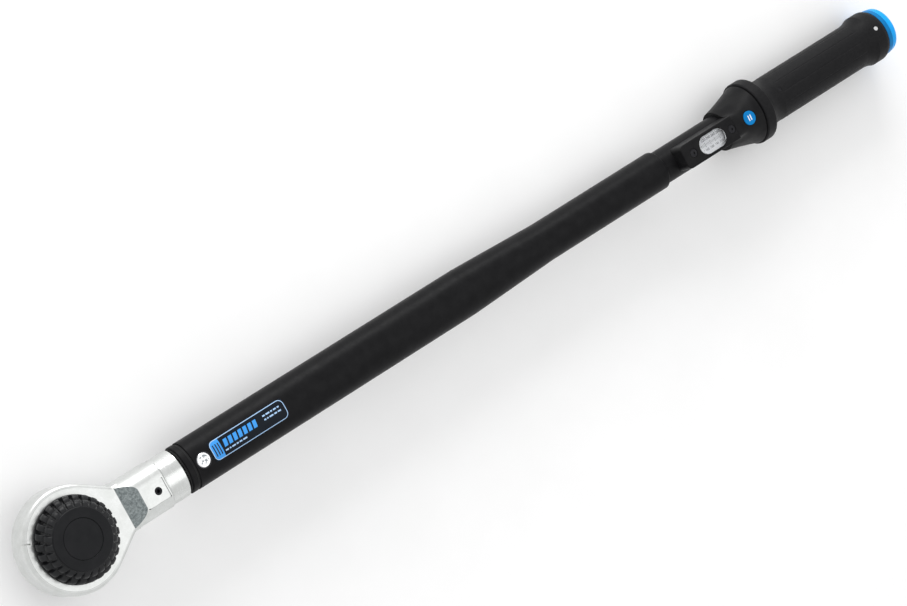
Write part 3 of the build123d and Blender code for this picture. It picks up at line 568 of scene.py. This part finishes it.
def label_print():
    """A blue outline with a solid block at the head end, plain bars and dashes. It carries no lettering."""
    x0, x1 = label_low.x + 0.3 * mm, label_high.x - 0.3 * mm
    y0, y1 = label_low.y + 0.2 * mm, label_high.y - 0.2 * mm
    centre_y = (y0 + y1) / 2
    line = 0.55 * mm
    outer_radius, inner_radius = 4.0 * mm, 3.45 * mm
    outer = rounded_outline(x0, x1, y0, y1, outer_radius)
    inner = rounded_outline(x0 + line, x1 - line, y0 + line, y1 - line, inner_radius)
    outer, inner = [spaced(loop, 1.2 * mm) for loop in (outer, inner)]
    assert len(outer) == len(inner)
    ink_band("label_outline", outer, inner, ink_pale)

    # Solid block at the head end, with three plain dark stripes across it
    block_x = x0 + 8.6 * mm
    block = block_patches(x0 + line, block_x, y0 + line, y1 - line, inner_radius)
    ink_patches("label_block", block, ink_blue, on_label, "tube", slices=8)
    stripe_width, stripe_pitch, stripe_margin = 0.9 * mm, 2.2 * mm, 3.0 * mm
    middle_x = (x0 + block_x) / 2 + 0.4 * mm
    stripes = []
    for step in (-1, 0, 1):
        left = middle_x + step * stripe_pitch - stripe_width / 2
        stripes.append(upright(left, left + stripe_width, y0 + stripe_margin, y1 - stripe_margin))
    over_block = film_gap + ink_thickness + 0.02 * mm
    ink_patches("label_stripes", stripes, ink_dark, on_label, "tube", lift=over_block)

    # A row of slanted bars, as on a gauge
    bar_count, bar_width, bar_pitch, bar_lean = 7, 3.1 * mm, 4.5 * mm, 1.0 * mm
    bar_low, bar_high = centre_y - 1.2 * mm, centre_y + 4.4 * mm
    bars = []
    for k in range(bar_count):
        left = block_x + 2.2 * mm + k * bar_pitch
        bars.append(upright(left, left + bar_width, bar_low, bar_high, bar_lean))
    ink_patches("label_bars", bars, ink_blue, on_label, "tube")

    # Fine dashes below the bars and in two rows at the handle end
    dash_height, dash_gap = 1.1 * mm, 0.9 * mm
    handle_end = x1 - 19.5 * mm
    dashes = []
    for row_y, left, lengths in (
        (centre_y - 4.2 * mm, block_x + 1.6 * mm, (2.6, 1.4, 3.2, 1.8, 2.4, 3.6)),
        (centre_y + 2.6 * mm, handle_end, (2.2, 3.4, 1.6, 2.6, 1.8)),
        (centre_y - 0.4 * mm, handle_end, (1.8, 1.2, 3.6, 2.4, 2.8)),
    ):
        for length in lengths:
            right = left + length * mm
            dashes.append(upright(left, right, row_y, row_y + dash_height))
            left = right + dash_gap
    ink_patches("label_dashes", dashes, ink_pale, on_label, "tube", slices=1)


label_print()

# ---------------------------------------------------------------- scale under the window
ink_grey = printed("ink_grey", (0.05, 0.05, 0.07), (0.10, 0.10, 0.12))


def flat_at(height):
    """A surface function for print on a flat face at that height."""
    return lambda x, y, lift: Vector((x, y, height + lift))


def number(text, x, y, size):
    """Upright figures printed on the scale strip, made into a mesh."""
    curve = bpy.data.curves.new("figures", "FONT")
    curve.body = text
    curve.size = size
    curve.align_x = "CENTER"
    curve.align_y = "CENTER"
    curve.extrude = ink_thickness / 2
    letters = bpy.data.objects.new("figures_text", curve)
    bpy.context.scene.collection.objects.link(letters)
    bpy.context.view_layer.update()
    mesh = bpy.data.meshes.new_from_object(letters.evaluated_get(bpy.context.evaluated_depsgraph_get()))
    bpy.data.objects.remove(letters)
    mesh.transform(Matrix.Translation((x, y, strip_high.z + film_gap + ink_thickness / 2)))
    return mesh


def scale_print():
    """Two rows of numbers and the graduations between them."""
    surface = flat_at(strip_high.z)
    middle_x = (strip_low.x + strip_high.x) / 2
    joined = bmesh.new()
    figure_pitch, mark_pitch, marks_each_figure = 5.2 * mm, 1.3 * mm, 4
    for k in range(-3, 4):
        x = middle_x + k * figure_pitch
        for value, y, size in ((240 + 20 * k, 3.9 * mm, 3.0 * mm), (180 + 15 * k, -4.1 * mm, 2.6 * mm)):
            mesh = number(str(value), x, y, size)
            joined.from_mesh(mesh)
            bpy.data.meshes.remove(mesh)
    mesh = bpy.data.meshes.new("scale_figures")
    joined.to_mesh(mesh)
    joined.free()
    mesh.materials.append(ink_grey)
    figures = bpy.data.objects.new("scale_figures", mesh)
    bpy.context.scene.collection.objects.link(figures)
    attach(figures, "setting")
    marks = []
    for k in range(-14, 15):
        x = middle_x + k * mark_pitch
        tall, wide = (1.9 * mm, 0.14 * mm) if k % marks_each_figure == 0 else (1.1 * mm, 0.09 * mm)
        marks.append(upright(x - wide, x + wide, -tall, tall))
    ink_patches("scale_marks", marks, ink_grey, surface, "setting", slices=1)


scale_print()


# ---------------------------------------------------------------- badge mark
def badge_mark():
    """Two plain white bars across the middle of the round badge."""
    white = printed("ink_white", (0.86, 0.88, 0.90), (0.80, 0.83, 0.88))
    surface = flat_at(badge_high.z)
    x = (badge_low.x + badge_high.x) / 2
    y = (badge_low.y + badge_high.y) / 2
    bar_length, bar_width, bar_offset = 4.6 * mm, 0.9 * mm, 1.1 * mm
    shapes = []
    for side in (-1, 1):
        left = x + side * bar_offset - bar_width / 2
        shapes.append(upright(left, left + bar_width, y - bar_length / 2, y + bar_length / 2))
    ink_patches("badge_mark", shapes, white, surface, "tube", slices=1)


badge_mark()


# ---------------------------------------------------------------- camera, floor and light
def camera():
    """The camera looks down the tool from beyond its head, far off with a long lens."""
    data = bpy.data.cameras.new("camera")
    data.lens = 127.0
    data.sensor_width = 36.0
    data.clip_start = 0.05
    view = bpy.data.objects.new("camera", data)
    bpy.context.scene.collection.objects.link(view)
    place = Vector((-0.7571, 0.3517, 2.1301))
    aim = Vector((0.35895, -0.00313, 0.012))
    roll = radians(77.71)
    turned = (aim - place).to_track_quat("-Z", "Y").to_matrix().to_4x4()
    view.matrix_world = Matrix.Translation(place) @ turned @ Matrix.Rotation(roll, 4, "Z")
    bpy.context.scene.camera = view


def floor():
    """A pale floor that touches the drive square and the flange of the grip."""
    pale, paler = (0.92, 0.92, 0.92), (0.94, 0.94, 0.94)
    shader = Shader("pale_floor", pale, 0.7, specular=0.2)
    shader.colour(shader.mix(shader.ramp(shader.noise(60.0, 3), 0.3, 0.7), pale, paler))
    flange_drop = flange_high.z - axis_z
    flange_x = flange_low.x + 5 * mm
    lean = (axis_z - flange_drop - square_tip) / flange_x
    gap, reach = 0.02 * mm, 6.0
    plan = ((-reach, -reach), (reach, -reach), (reach, reach), (-reach, reach))
    corners = [(x, y, square_tip - gap + lean * x) for x, y in plan]
    mesh = bpy.data.meshes.new("floor")
    mesh.from_pydata(corners, [], [(0, 1, 2, 3)])
    mesh.materials.append(shader.material)
    plane = bpy.data.objects.new("floor", mesh)
    bpy.context.scene.collection.objects.link(plane)


def soft_box(name, place, aim, size, watts):
    """A white rectangular lamp."""
    data = bpy.data.lights.new(name, "AREA")
    data.shape = "RECTANGLE"
    data.size, data.size_y = size
    data.energy = watts
    light = bpy.data.objects.new(name, data)
    light.location = place
    light.rotation_euler = (Vector(aim) - Vector(place)).to_track_quat("-Z", "Y").to_euler()
    bpy.context.scene.collection.objects.link(light)


def studio():
    """An even white surround with two soft lamps."""
    world = bpy.data.worlds.new("studio")
    world.use_nodes = True
    world.node_tree.nodes["Background"].inputs["Color"].default_value = (1, 1, 1, 1)
    world.node_tree.nodes["Background"].inputs["Strength"].default_value = 0.88
    bpy.context.scene.world = world
    soft_box("key", (0.75, 1.9, 0.75), (0.35, 0, 0), (1.9, 0.8), 26)
    soft_box("top", (0.78, -0.25, 1.5), (0.0, 0, 0.02), (1.0, 1.0), 2.2)
    bpy.context.scene.view_settings.view_transform = "Standard"


camera()
floor()
studio()
